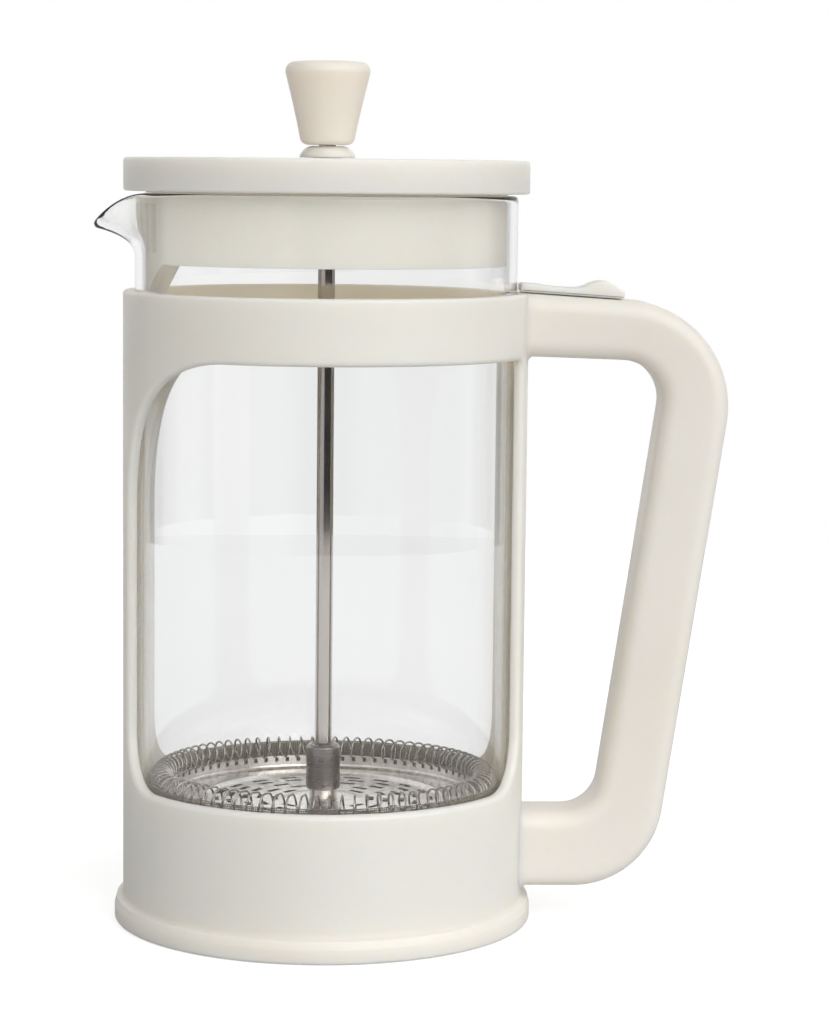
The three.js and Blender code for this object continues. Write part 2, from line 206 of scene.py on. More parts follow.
def wire(path, radius, sides, closed):
    """A round wire along a path of vectors."""
    count = len(path)
    turns = [TAU * k / sides for k in range(sides)]
    loops = []
    for i, here in enumerate(path):
        before = path[i - 1] if closed or i else here
        after = path[(i + 1) % count] if closed or i + 1 < count else here
        along = (after - before).normalized()
        across = along.cross(Vector((0, 0, 1)))
        if across.length < 0.02:
            across = along.cross(Vector((here.x, here.y, 0)))
        across.normalize()
        upright = across.cross(along)
        loops.append([here + radius * (cos(t) * across + sin(t) * upright) for t in turns])
    return bridge(loops, join_ends=closed, capped=not closed)


def make_object(name, data):
    made = bpy.data.objects.new(name, data)
    bpy.context.scene.collection.objects.link(made)
    return made


def make_piece(name, shape, material, body, slot_name, replaced, crease=38.0, weld=True):
    """A piece from points in millimetres, tied to its body and given its finish; the CAD nodes that it
    stands for are hidden.
    """
    points, faces = shape
    mesh = bpy.data.meshes.new(name)
    mesh.from_pydata([tuple(c * MM for c in p) for p in points], [], faces)
    work = bmesh.new()
    work.from_mesh(mesh)
    if weld:
        bmesh.ops.remove_doubles(work, verts=work.verts, dist=WELD)
    bmesh.ops.recalc_face_normals(work, faces=work.faces)
    work.to_mesh(mesh)
    work.free()
    mesh.shade_smooth()
    mesh.set_sharp_from_angle(angle=radians(crease))
    mesh.materials.append(material)
    piece = make_object(name, mesh)
    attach(piece, body)
    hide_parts(*replaced)
    return piece


# ---------- materials


class Nodes:
    """A node tree, with short ways to add and link nodes."""

    def __init__(self, tree, coordinates):
        self.tree = tree
        self.place = self.node("TexCoord").outputs[coordinates]

    def node(self, kind, **settings):
        """A new node whose settings are given by name."""
        made = self.tree.nodes.new("ShaderNode" + kind)
        for key, value in settings.items():
            setattr(made, key, value)
        return made

    def put(self, value, socket):
        """Feeds an input from another node's output, or sets it to a number or a colour."""
        if isinstance(value, bpy.types.NodeSocket):
            self.tree.links.new(value, socket)
        elif socket.type == "RGBA":
            socket.default_value = (*value, 1)
        else:
            socket.default_value = value

    def sum(self, kind, operation, *values):
        """A sum over numbers or vectors."""
        made = self.node(kind, operation=operation)
        for value, socket in zip(values, made.inputs):
            self.put(value, socket)
        return made.outputs

    def math(self, operation, *values):
        return self.sum("Math", operation, *values)[0]

    def noise(self, scale, detail=3.0, stretch=(1, 1, 1)):
        """Noise over the object. The scale is in features per metre."""
        mapping = self.node("Mapping")
        self.put(self.place, mapping.inputs["Vector"])
        self.put(stretch, mapping.inputs["Scale"])
        noise = self.node("TexNoise")
        vector = mapping.outputs["Vector"]
        for name, value in (("Vector", vector), ("Scale", scale), ("Detail", detail)):
            self.put(value, noise.inputs[name])
        return noise.outputs["Fac"]

    def colours(self, value, stops):
        """A colour ramp with (position, colour) stops."""
        ramp = self.node("ValToRGB")
        points = ramp.color_ramp.elements
        for point, (position, colour) in zip(points, (stops[0], stops[-1])):
            point.position = position
            point.color = (*colour, 1)
        for position, colour in stops[1:-1]:
            points.new(position).color = (*colour, 1)
        self.put(value, ramp.inputs["Fac"])
        return ramp.outputs["Color"]

    def spread(self, value, low, high, start=0.3, end=0.7, kind="LINEAR"):
        """Maps a value's range from start to end onto low to high."""
        spread = self.node("MapRange", interpolation_type=kind)
        for number, socket in zip((value, start, end, low, high), spread.inputs):
            self.put(number, socket)
        return spread.outputs["Result"]

    def mix(self, factor, one, two, data_type="RGBA"):
        """Two colours or two numbers mixed."""
        mix = self.node("Mix", data_type=data_type)
        first, result = (6, 2) if data_type == "RGBA" else (2, 0)
        for value, k in ((factor, 0), (one, first), (two, first + 1)):
            self.put(value, mix.inputs[k])
        return mix.outputs[result]


class Surface(Nodes):
    """A material's node tree."""

    def __init__(self, name):
        self.material = bpy.data.materials.new(name)
        self.material.use_nodes = True
        tree = self.material.node_tree
        self.shader = tree.nodes["Principled BSDF"]
        self.output = tree.nodes["Material Output"]
        super().__init__(tree, "Object")

    def set(self, **values):
        """Sets or feeds the shader's inputs, which are named with _ for a space."""
        for key, value in values.items():
            self.put(value, self.shader.inputs[key.replace("_", " ")])

    def bump(self, height, strength, depth, before=None):
        """Adds a bump to the shader's normal. The depth is in millimetres."""
        bump = self.node("Bump")
        for name, value in (("Strength", strength), ("Distance", depth * MM), ("Height", height)):
            self.put(value, bump.inputs[name])
        if before is not None:
            self.put(before, bump.inputs["Normal"])
        self.set(Normal=bump.outputs["Normal"])
        return bump.outputs["Normal"]

    def combine(self, kind, *shaders):
        """Sends some shaders to the surface through one node."""
        both = self.node(kind)
        for shader, socket in zip(shaders, both.inputs):
            self.put(shader, socket)
        self.put(both.outputs[0], self.output.inputs["Surface"])


def linear(red, green, blue):
    """A display colour from 0 to 255 as linear light."""
    scaled = [c / 255 for c in (red, green, blue)]
    return tuple(c / 12.92 if c <= 0.04045 else ((c + 0.055) / 1.055) ** 2.4 for c in scaled)


SKIN_DEPTH = 0.005
SKIN_RADIUS = (1.0, 0.85, 0.65)


def moulded_plastic(name, base, shade, roughness, grain_depth, glow=(0, 0, 0), painted_glow_where=None):
    """Moulded plastic: faint mottling, a satin grain and a painted highlight that makes convex edges a
    little paler.

    The glow is painted light: an emission that brightens shaded faces in place of light that comes
    through a thin wall from its other side.
    """
    look = Surface(name)
    base, shade = linear(*base), linear(*shade)
    body = look.colours(look.noise(22, detail=4), [(0.3, shade), (0.7, base)])
    edge_highlight_colour = tuple(min(1.0, c * 1.04) for c in base)
    # Painted highlight: convex edges, found by pointiness, are painted a little paler, as where rounded
    # edges catch the light.
    edge = look.node("NewGeometry").outputs["Pointiness"]
    body = look.mix(look.spread(edge, 0.0, 0.5, start=0.51, end=0.58), body, edge_highlight_colour)
    flecks = look.spread(look.noise(1400, detail=2), 0.0, 0.06, start=0.62, end=0.75)
    patches = look.spread(look.noise(60, detail=5), roughness - 0.05, roughness + 0.07)
    look.set(Base_Color=look.mix(flecks, body, shade), Roughness=patches)
    wave = look.bump(look.noise(35, detail=2), 0.25, 0.12)
    look.bump(look.noise(1900, detail=2), 0.35, grain_depth, before=wave)
    look.set(Subsurface_Weight=0.8, Subsurface_Scale=SKIN_DEPTH, Subsurface_Radius=SKIN_RADIUS)
    # Painted light: the glow is an emission from plastic that is no lamp.
    look.set(Specular_IOR_Level=0.5, Emission_Color=glow, Emission_Strength=1.0 if any(glow) else 0.0)
    if painted_glow_where:
        look.set(Emission_Strength=painted_glow_where(look))
    return look.material


def metal(name, light, dark, roughness, streak_scale, bump_depth, stretch=(1, 1, 1)):
    """Metal with streaks along its grain and fine scratches."""
    look = Surface(name)
    streaks = look.noise(streak_scale, detail=4, stretch=stretch)
    smudges = look.noise(90, detail=4)
    tone = look.colours(streaks, [(0.25, dark), (0.75, light)])
    smudged = look.spread(smudges, 0.0, 0.35, start=0.55, end=0.8)
    look.set(Metallic=1.0, Base_Color=look.mix(smudged, tone, dark))
    look.set(Roughness=look.spread(smudges, *roughness))
    look.bump(streaks, 0.3, bump_depth)
    return look.material


def clear_glass():
    """Clear borosilicate glass that lets light through to what is inside it."""
    look = Surface("clear_glass")
    tint = look.colours(look.noise(14, detail=2), [(0.3, (0.985, 0.992, 0.99)), (0.7, (1, 1, 1))])
    look.set(Transmission_Weight=1.0, Roughness=0.0, IOR=1.47, Base_Color=tint)
    look.bump(look.noise(28, detail=1.5), 0.12, 0.2)
    shadow = look.node("LightPath").outputs["Is Shadow Ray"]
    clear = look.node("BsdfTransparent")
    look.combine("MixShader", shadow, look.shader.outputs[0], clear.outputs[0])
    return look.material


def woven_steel():
    """The flat disc of wire cloth: two sets of fine wires at right angles."""
    look = Surface("woven_steel")
    bands = []
    for direction in ("X", "Y"):
        wave = look.node("TexWave", wave_type="BANDS", bands_direction=direction)
        wave.inputs["Scale"].default_value = 520
        look.put(look.place, wave.inputs["Vector"])
        bands.append(wave.outputs["Fac"])
    weave = look.math("MULTIPLY", *bands)
    tone = look.colours(weave, [(0.02, linear(70, 64, 58)), (0.4, linear(178, 170, 158))])
    look.set(Metallic=1.0, Base_Color=tone, Roughness=look.spread(look.noise(200), 0.3, 0.5))
    look.bump(weave, 0.6, 0.12)
    return look.material


CREAM = moulded_plastic("cream_plastic", (237, 233, 226), (233, 228, 219), 0.42, 0.02)
LID_CREAM = moulded_plastic("lid_plastic", (247, 240, 230), (243, 235, 224), 0.44, 0.02)
KNOB_CREAM = moulded_plastic("knob_plastic", (238, 232, 222), (234, 227, 216), 0.46, 0.03)
GLOSS_CREAM = moulded_plastic("gloss_cream", (238, 232, 220), (234, 227, 213), 0.16, 0.004)
# Painted light: a faint warm glow that lifts the skirt out of the shade under the lid.
SKIRT_CREAM = moulded_plastic(
    "skirt_plastic", (241, 236, 227), (237, 231, 221), 0.44, 0.02, glow=(0.045, 0.038, 0.022)
)
POLISHED = metal(
    "polished_steel", (0.62, 0.585, 0.56), (0.52, 0.48, 0.455), (0.05, 0.10), 260, 0.004, (1, 1, 0.05)
)
TURNED = metal(
    "brushed_steel", (0.36, 0.33, 0.31), (0.20, 0.18, 0.17), (0.20, 0.32), 900, 0.02, (0.06, 0.06, 3)
)
BRASS = metal(
    "brass_insert", (0.72, 0.52, 0.22), (0.52, 0.36, 0.14), (0.22, 0.36), 900, 0.01, (0.1, 0.1, 3)
)
SHEET_STEEL = metal("sheet_steel", (0.88, 0.86, 0.83), (0.62, 0.58, 0.55), (0.22, 0.32), 500, 0.004)
SPRING = metal("spring_steel", (0.50, 0.46, 0.42), (0.24, 0.215, 0.19), (0.10, 0.20), 700, 0.004)
MESH_WIRE = metal("mesh_wire", (0.40, 0.36, 0.31), (0.27, 0.24, 0.20), (0.28, 0.42), 900, 0.004)
GLASS = clear_glass()
WEAVE = woven_steel()


# ---------- holder

FRAME_HIGH = mm_box("holder_frame")[1]
FLANGE_R = FRAME_HIGH.x
FRAME_TOP = FRAME_HIGH.z
FRAME_R = FLANGE_R - 2.2
FRAME_WALL = 2.6
BORE_R = FRAME_R - FRAME_WALL
MIDDLE_R = (FRAME_R + BORE_R) / 2
FRAME_STEPS = 240
FLANGE_TOP = 7.4
FLANGE_FILLET = 1.6
FOOT_STEP = 1.6
FLOOR_TOP = 4.5
FLOOR_CORNER = 6.0
RIM_OUTER = 0.9
RIM_INNER = 0.6

WINDOW_LOW = 36.8
WINDOW_HIGH = 146.6
WINDOW_HALF = radians(74.5) * MIDDLE_R
LOWER_CORNER = 15.0
SPOUT_CORNER = 40.0
HANDLE_CORNER = 2.5
EDGE_OUTER = 1.3
EDGE_INNER = 0.5
SHEET_PITCH = 2.0
SHEET_MARGINS = (0.0, 0.45, 1.3)


def window(side):
    """One window of the holder on the unrolled wall, where side -1 is the front and +1 the rear."""
    centre = side * QUARTER * MIDDLE_R
    low, high = centre - WINDOW_HALF, centre + WINDOW_HALF
    left, right = (SPOUT_CORNER, HANDLE_CORNER) if side < 0 else (HANDLE_CORNER, SPOUT_CORNER)
    corners = [
        (low, WINDOW_LOW, -1, -1, LOWER_CORNER),
        (high, WINDOW_LOW, 1, -1, LOWER_CORNER),
        (high, WINDOW_HIGH, 1, 1, right),
        (low, WINDOW_HIGH, -1, 1, left),
    ]
    return [(s - ds * r, z - dz * r, ds, dz, r) for s, z, ds, dz, r in corners]


def window_distance(corners, s, z):
    """How far a point of the unrolled wall is outside a window, or below 0 inside it."""
    distance = -1e9
    for cs, cz, ds, dz, radius in corners:
        over, up = (s - cs) * ds, (z - cz) * dz
        distance = max(distance, over - radius, up - radius)
        if over > 0 and up > 0:
            distance = max(distance, hypot(over, up) - radius)
    return distance


def window_loop(corners, grow):
    """A window's outline on the unrolled wall, grown outwards. Each growth has as many points."""
    outline = []
    for k, (cs, cz, _, _, radius) in enumerate(corners):
        first = 180 + 90 * k
        outline += arc(cs, cz, radius + grow, first, first + 90, max(6, round(radius)))
        ns, nz, _, _, next_radius = corners[(k + 1) % 4]
        start, end = outline[-1], on_arc(ns, nz, next_radius + grow, first + 90)
        parts = max(1, round(hypot(ns - cs, nz - cz) / SHEET_PITCH))
        for i in range(1, parts):
            share = i / parts
            outline.append(tuple(a + (b - a) * share for a, b in zip(start, end)))
    return outline


def rolled(s, z, radius):
    """A point of the unrolled wall on a cylinder."""
    return around(radius, s / MIDDLE_R, z)


def holder_sheet(windows, grow, radius, low, high):
    """One face of the holder's wall: a cylinder with both windows left out."""
    half = pi * MIDDLE_R
    stations = between(-half, half, FRAME_STEPS)
    heights = between(low, high, round((high - low) / SHEET_PITCH))
    points, edges = [], []

    def outside(s, z):
        return min(window_distance(corners, s, z) for corners in windows) - grow

    for corners in windows:
        for margin in SHEET_MARGINS:
            loop = window_loop(corners, grow + margin)
            first, count = len(points), len(loop)
            points += loop
            if margin < SHEET_MARGINS[-1]:
                edges += [(first + i, first + (i + 1) % count) for i in range(count)]
    clear = SHEET_MARGINS[-1] + 0.6 * SHEET_PITCH
    points += [(s, z) for s in stations for z in heights if outside(s, z) > clear]
    vertices, _, faces, _, _, _ = delaunay_2d_cdt([Vector(p) for p in points], edges, [], 0, 1e-6)
    kept = []
    for face in faces:
        s = sum(vertices[i].x for i in face) / len(face)
        z = sum(vertices[i].y for i in face) / len(face)
        if outside(s, z) > -1e-3:
            kept.append(list(face))
    return [rolled(v.x, v.y, radius) for v in vertices], kept


def window_edge(corners):
    """The wall of a window, with both of its edges rounded."""
    outer, inner = between(0, QUARTER, 7), between(0, QUARTER, 4)
    stages = [(EDGE_OUTER * (1 - sin(t)), FRAME_R - EDGE_OUTER * (1 - cos(t))) for t in outer]
    stages += [(EDGE_INNER * (1 - cos(t)), BORE_R + EDGE_INNER * (1 - sin(t))) for t in inner]
    return bridge([[rolled(s, z, r) for s, z in window_loop(corners, grow)] for grow, r in stages])


def painted_glow_on_band(look):
    """Marks the inner face of the top band for a painted glow, which lifts its shade in place of light
    that comes through the thin wall.
    """
    flat = look.sum("VectorMath", "MULTIPLY", look.place, (1, 1, 0))["Vector"]
    away = look.sum("VectorMath", "LENGTH", flat)["Value"]
    height = look.node("SeparateXYZ")
    look.put(look.place, height.inputs[0])
    inner = look.spread(away, 1, 0, (BORE_R + 0.2) * MM, (BORE_R + 0.9) * MM)
    upper = look.spread(height.outputs["Z"], 0, 1, (FRAME_TOP - 26) * MM, (FRAME_TOP - 12) * MM)
    return look.math("MULTIPLY", inner, upper)


def make_holder():
    """The moulded frame: foot flange, floor, two posts and the upper band, in one wall."""
    windows = [window(-1), window(1)]
    outside = rounded([
        (0, 0, 0), (12, 0, 0.5), (12 + FOOT_STEP, FOOT_STEP, 0.5), (46, FOOT_STEP, 0.5),
        (46 + FOOT_STEP, 0, 0.5), (FLANGE_R, 0, 0.9), (FLANGE_R, 3.9, 0.7), (FLANGE_R - 0.75, 4.9, 0.5),
    ], steps=4)[:-1]
    outside += arc(FRAME_R + FLANGE_FILLET, FLANGE_TOP, FLANGE_FILLET, 272, 180, 8)
    rim = arc(FRAME_R - RIM_OUTER, FRAME_TOP - RIM_OUTER, RIM_OUTER, 0, 90, 6)
    rim += arc(BORE_R + RIM_INNER, FRAME_TOP - RIM_INNER, RIM_INNER, 90, 180, 5)
    corner_top = FLOOR_TOP + FLOOR_CORNER
    inside = arc(BORE_R - FLOOR_CORNER, corner_top, FLOOR_CORNER, 0, -90, 10) + [(0, FLOOR_TOP)]
    shape = joined(
        lathe(outside, FRAME_STEPS, closed=False),
        holder_sheet(windows, EDGE_OUTER, FRAME_R, FLANGE_TOP, FRAME_TOP - RIM_OUTER),
        *[window_edge(corners) for corners in windows],
        lathe(rim, FRAME_STEPS, closed=False),
        holder_sheet(windows, EDGE_INNER, BORE_R, corner_top, FRAME_TOP - RIM_INNER),
        lathe(inside, FRAME_STEPS, closed=False),
    )
    # Painted light: a warm glow on the inner face of the top band, which lies in shade.
    plastic = moulded_plastic(
        "holder_plastic", (242, 237, 228), (238, 232, 222), 0.42, 0.02,
        glow=(0.19, 0.16, 0.11), painted_glow_where=painted_glow_on_band,
    )
    make_piece("holder_shell", shape, plastic, "holder", "cream_plastic", ["holder_frame"])


# ---------- handle and latch

HANDLE_LOW, HANDLE_HIGH = mm_box("handle")
HANDLE_HALF_DEPTH = (HANDLE_HIGH.y - HANDLE_LOW.y) / 2
HANDLE_ROUNDING = 4.0
HANDLE_FILLET = 1.6
HANDLE_SLOPE = radians(3.58)
HANDLE_LEAN = 8.4
OUTER_TOP, INNER_TOP = (76, 134.2, 27.3), (75.6, 135.8, 10.5)
OUTER_FOOT, INNER_FOOT = (65.2, 32.4, 23.2), (62.4, 38.2, 9.5)
TOP_RUN = 77.9 - FRAME_R
LOOP_TOP, LOOP_FALL = 147.0, 0.7
ARM_LOW, ARM_HIGH = 9.2, 28.7
BURIED = -1.7
CLEAR_OF_WALL = 99
SLOT_ENDS = [3.4 * cos(HANDLE_SLOPE), 23.8 * cos(HANDLE_SLOPE)]
SLOT_HALF = 2.4
SLOT_FOOT_HALF = 4.4
SLOT_NECK = 2.2
SLOT_DEPTH = 5.0
SLOT_EDGE = 9  # the section's point on the slot's edge


def handle_stations():
    """(outer point, inner point, distance from the wall, end) along the handle."""
    fillet = [HANDLE_FILLET * (1 - sin(radians(15 * k))) for k in range(7)]
    stations = []
    slope = tan(HANDLE_SLOPE)
    middle_u = [5, 7, 9, 11.5, 14, 17, 20, 22.3]
    for u in [BURIED, *reversed(fillet), 2.4, SLOT_ENDS[0], *middle_u, SLOT_ENDS[1], TOP_RUN]:
        share = u / TOP_RUN
        outer = (FRAME_R + u, FRAME_TOP - u * slope - (0.03 if u < 0 else 0))
        inner = (FRAME_R + (INNER_TOP[0] - FRAME_R) * share, LOOP_TOP - LOOP_FALL * max(0, share))
        stations.append((outer, inner, u, 1))
    tilt = -HANDLE_LEAN
    top = list(zip(arc(*OUTER_TOP, 86, tilt, 26), arc(*INNER_TOP, 90, tilt, 26)))
    foot = list(zip(arc(*OUTER_FOOT, tilt, -90, 22), arc(*INNER_FOOT, tilt, -90, 22)))
    ends = [(Vector(a), Vector(b)) for a, b in zip(top[-1], foot[0])]
    grip = [[a.lerp(b, k / 18) for a, b in ends] for k in range(1, 18)]
    stations += [(outer, inner, CLEAR_OF_WALL, 0) for outer, inner in top[1:] + grip + foot]
    for u in [10.3, 8, 6, 4, 2.5, *fillet, BURIED]:
        share = u / (OUTER_FOOT[0] - FRAME_R)
        inner_x = FRAME_R + (INNER_FOOT[0] - FRAME_R) * share
        stations.append(((FRAME_R + u, ARM_LOW), (inner_x, ARM_HIGH), u, -1))
    return stations


def handle_template():
    """The section's points as (flat share across, flat share up, normal across, normal up)."""
    template = []
    inner = SLOT_HALF / (HANDLE_HALF_DEPTH - HANDLE_ROUNDING)
    for k, (cy, ch) in enumerate([(1, 1), (-1, 1), (-1, -1), (1, -1)]):
        for step in range(8):
            angle = radians(90 * k + 90 * step / 7)
            template.append((cy, ch, cos(angle), sin(angle)))
        if k in (0, 2):
            template += [(a * ch, ch, 0, ch) for a in (0.93, inner, -inner, -0.93)]
        else:
            template += [(cy, ch * a, cy, 0) for a in (0.9, 0.35, -0.35, -0.9)]
    return template


def flare(u):
    """How far the fillet stands out from the handle at a distance from the wall."""
    if u >= HANDLE_FILLET:
        return 0.0
    return HANDLE_FILLET - sqrt(max(0.0, HANDLE_FILLET**2 - (HANDLE_FILLET - max(u, 0.0)) ** 2))


def handle_section(station, template):
    """One section of the handle, which flares onto the wall's curve near it."""
    outer, inner, u, end = station
    outer, inner = Vector(outer), Vector(inner)
    centre = (outer + inner) / 2
    normal = (outer - inner).normalized()
    half = (outer - inner).length / 2
    fade = 1 - min(1.0, max(0.0, u / 9.0))
    fade = fade * fade * (3 - 2 * fade)
    loop = []
    for cy, ch, ny, nh in template:
        outward = nh if end > 0 else 0.0
        grow = flare(u) * (1 - max(0.0, outward)) if end else 0.0
        y = cy * (HANDLE_HALF_DEPTH - HANDLE_ROUNDING) + (HANDLE_ROUNDING + grow) * ny
        h = ch * (half - HANDLE_ROUNDING) + (HANDLE_ROUNDING + grow) * nh
        spot = centre + normal * h
        landing = sqrt(FRAME_R**2 - y * y) - FRAME_R
        loop.append(Vector((spot.x + landing * fade, y, spot.y)))
    return loop


def make_handle():
    """The loop handle, flared onto the holder's wall, with the latch's T-slot in its top."""
    template = handle_template()
    stations = handle_stations()
    loops = [handle_section(station, template) for station in stations]
    points, faces = bridge(loops, capped=True)
    first, last = [[u for _, _, u, _ in stations].index(end) for end in SLOT_ENDS]
    slot_faces = {r * len(template) + SLOT_EDGE for r in range(first, last)}
    faces = [face for i, face in enumerate(faces) if i not in slot_faces]
    down = Vector((-sin(HANDLE_SLOPE), 0, -cos(HANDLE_SLOPE)))
    side = [(SLOT_HALF, 0), (SLOT_HALF, SLOT_NECK)]
    side += [(SLOT_FOOT_HALF, SLOT_NECK), (SLOT_FOOT_HALF, SLOT_DEPTH)]
    across = side + [(-y, depth) for y, depth in reversed(side)]
    profiles = []
    for loop in loops[first:last + 1]:
        edge = loop[SLOT_EDGE]
        profiles.append([Vector((edge.x, y, edge.z)) + down * depth for y, depth in across])
    shape = joined((points, faces), bridge(profiles, closed_loops=False, capped=True))
    make_piece("handle_loop", shape, CREAM, "holder", "cream_plastic", ["handle"])


LATCH_HALF_WIDTH = 6.0
LATCH_NOSE = -2.5
LATCH_EDGE = 0.55
LATCH_FOOT = (4, 15.4)


def on_handle_top(u, y, h):
    """A point given along, across and above the handle's sloping top."""
    level, steep = cos(HANDLE_SLOPE), sin(HANDLE_SLOPE)
    return Vector((FRAME_R + u * level + h * steep, y, FRAME_TOP - u * steep + h * level))


def smooth_line(knots, steps=5):
    """A Catmull-Rom curve through some points."""
    padded = [knots[0]] + list(knots) + [knots[-1]]
    points = []
    for i in range(1, len(padded) - 2):
        p0, p1, p2, p3 = [Vector(p) for p in padded[i - 1:i + 3]]
        for k in range(steps):
            t = k / steps
            square = (2 * p0 - 5 * p1 + 4 * p2 - p3) * t * t
            cube = (3 * p1 - p0 - 3 * p2 + p3) * t**3
            points.append(tuple(0.5 * (2 * p1 + (p2 - p0) * t + square + cube)))
    return points + [tuple(knots[-1])]


def shrunk(outline, inset):
    """A closed outline that runs counter-clockwise, drawn inwards."""
    moved = []
    for i, point in enumerate(outline):
        before, after = Vector(outline[i - 1]), Vector(outline[(i + 1) % len(outline)])
        here = Vector(point)
        one, two = (here - before).normalized(), (after - here).normalized()
        along = (one + two).normalized()
        stretch = 1 / max(0.5, along.dot(one))
        moved.append((here.x - along.y * inset * stretch, here.y + along.x * inset * stretch))
    return moved


def slab(outline, half_width, edge, steps=2):
    """A closed outline on the handle's top, given a width, with rounded edges."""
    loops = []
    for side in (-1, 1):
        rings = []
        for turn in between(0, QUARTER, steps):
            width = side * (half_width - edge * (1 - cos(turn)))
            inset = shrunk(outline, edge * (1 - sin(turn)))
            rings.append([on_handle_top(a, width, b) for a, b in inset])
        loops += rings if side < 0 else rings[::-1]
    return bridge(loops, capped=True)


def make_latch():
    """The slide that holds the beaker in: a thin tongue with a thumb hump, on a T foot."""
    top = smooth_line([(22.9, 2.9), (20.7, 4.1), (18.4, 4.4), (15.8, 3.7), (13.9, 2.65), (11.8, 2.2),
                       (8.3, 2.1), (4.9, 2.15), (2.4, 2.4), (LATCH_NOSE + 1, 2.45)])
    nose = arc(LATCH_NOSE + 0.7, 1.75, 0.7, 90, 180, 4)[1:]
    nose += arc(LATCH_NOSE + 0.35, 0.65, 0.35, 180, 270, 3)
    tail = arc(23.85, 0.65, 0.35, -90, 0, 3) + arc(23.4, 1.7, 0.85, 10, 50, 3)
    shape = joined(
        slab(nose + tail + top, LATCH_HALF_WIDTH, LATCH_EDGE, 4),
        slab(oblong(*LATCH_FOOT, -3.5, 1, [0.2] * 4, 2), 2.0, 0.2),
        slab(oblong(*LATCH_FOOT, -4.6, -2.7, [0.3] * 4, 2), 4.0, 0.3),
    )
    make_piece("latch_slide", shape, CREAM, "latch", "cream_plastic", ["beaker_latch"])


# ---------- beaker

GLASS_LOW, GLASS_HIGH = mm_box("glass_beaker")
GLASS_R = GLASS_HIGH.x
GLASS_TOP = GLASS_HIGH.z
GLASS_FOOT = GLASS_LOW.z
GLASS_WALL = 2.4
GLASS_INNER = GLASS_R - GLASS_WALL
GLASS_LIP = GLASS_WALL / 2
GLASS_FOOT_CORNER = 9.0
GLASS_FLOOR = 3.0
GLASS_FLOOR_CORNER = 7.5
SPOUT_START = 171.0
SPOUT_REACH = 10.54
SPOUT_DROP = 6.8
SPOUT_HALF_ANGLE = radians(12)


def pinched(point):
    """Bends the beaker's upright wall out and over into the spout, at its full thickness.

    The wall's middle runs out with the square of its rise and falls with the power 1.5.
    """
    x, y, z = point
    if z <= SPOUT_START or x >= 0:
        return point
    middle = GLASS_R - GLASS_LIP
    run = GLASS_TOP - GLASS_LIP - SPOUT_START
    rise = min(1.0, (z - SPOUT_START) / run)
    beyond = max(0.0, z - SPOUT_START - run)
    aside = atan2(abs(y), -x) / SPOUT_HALF_ANGLE
    share = exp(-aside * aside)
    reach, drop = SPOUT_REACH * share, SPOUT_DROP * share**1.8
    along = Vector((2 * reach * rise, run - 1.5 * drop * rise**0.5)).normalized()
    offset = hypot(x, y) - middle
    radius = middle + reach * rise**2 + along.y * offset + along.x * beyond
    height = SPOUT_START + run * rise - drop * rise**1.5 - along.x * offset + along.y * beyond
    scale = radius / hypot(x, y)
    return (x * scale, y * scale, height)


def make_beaker():
    """The glass beaker: a blown wall, a rounded foot, a fire-polished lip and a pinched spout."""
    foot, corner = GLASS_FOOT_CORNER, GLASS_FLOOR_CORNER
    floor_top = GLASS_FOOT + GLASS_FLOOR
    heights = [GLASS_FOOT + foot + 8 * k for k in range(1, 20)]
    heights = [z for z in heights if z < SPOUT_START]
    heights += between(SPOUT_START, GLASS_TOP - GLASS_LIP, 22)[:-1]
    profile = [(0, GLASS_FOOT + 1), (18, GLASS_FOOT + 0.8), (30, GLASS_FOOT + 0.3), (37, GLASS_FOOT)]
    profile += arc(GLASS_R - foot, GLASS_FOOT + foot, foot, -90, 0, 14)
    profile += [(GLASS_R, z) for z in heights]
    profile += arc(GLASS_INNER + GLASS_LIP, GLASS_TOP - GLASS_LIP, GLASS_LIP, 0, 180, 12)
    profile += [(GLASS_INNER, z) for z in reversed(heights)]
    profile += arc(GLASS_INNER - corner, floor_top + corner, corner, 0, -90, 12)
    profile += [(30, floor_top + 0.1), (16, floor_top + 0.5), (0, floor_top + 0.6)]
    points, faces = lathe(profile, 256, closed=False)
    shape = ([pinched(p) for p in points], faces)
    make_piece("beaker_glass", shape, GLASS, "beaker", "clear_glass", ["glass_beaker"], crease=80)


# ---------- lid

LID_LOW, LID_HIGH = mm_box("lid_cap")
LID_R = LID_HIGH.x
LID_BOTTOM = LID_LOW.z
LID_TOP = LID_HIGH.z
LID_SHELL = 2.2
LID_HOLE_R = 4.0
SKIRT_R = 46.2
SKIRT_WALL = 1.8
SKIRT_BOTTOM = 170.0
SKIRT_STEP = radians(1.6)
TONGUE_BOTTOM = 156.0
TONGUE_HALF_ANGLE = radians(30)
GROOVE_AT = radians(29.4)
GROOVE_HALF = radians(0.7)
GROOVE_DEPTH = 0.35
SKIRT_SLOTS = 9
SLOT_PITCH = radians(6.2)
SLOT_HALF_ANGLE = radians(1.55)


def make_lid_cap():
    """The lid's thick disc, hollow below, with fine rounded edges."""
    under = LID_TOP - LID_SHELL
    inner = LID_R - LID_SHELL
    profile = rounded([
        (inner, LID_BOTTOM, 0.4), (LID_R, LID_BOTTOM, 0.7), (LID_R, LID_TOP, 0.9),
        (LID_HOLE_R, LID_TOP, 0.3), (LID_HOLE_R, under, 0.2), (inner, under, 0.8),
    ], closed=True)
    make_piece("lid_disc", lathe(profile, 256), LID_CREAM, "lid", "lid_plastic", ["lid_cap"])


def skirt_edge(angle):
    """The height of the skirt's lower edge. It runs down into a tongue at the spout."""
    aside = min(abs(abs(angle) - pi) / TONGUE_HALF_ANGLE, 1)
    return TONGUE_BOTTOM + (SKIRT_BOTTOM - TONGUE_BOTTOM) * aside**1.6


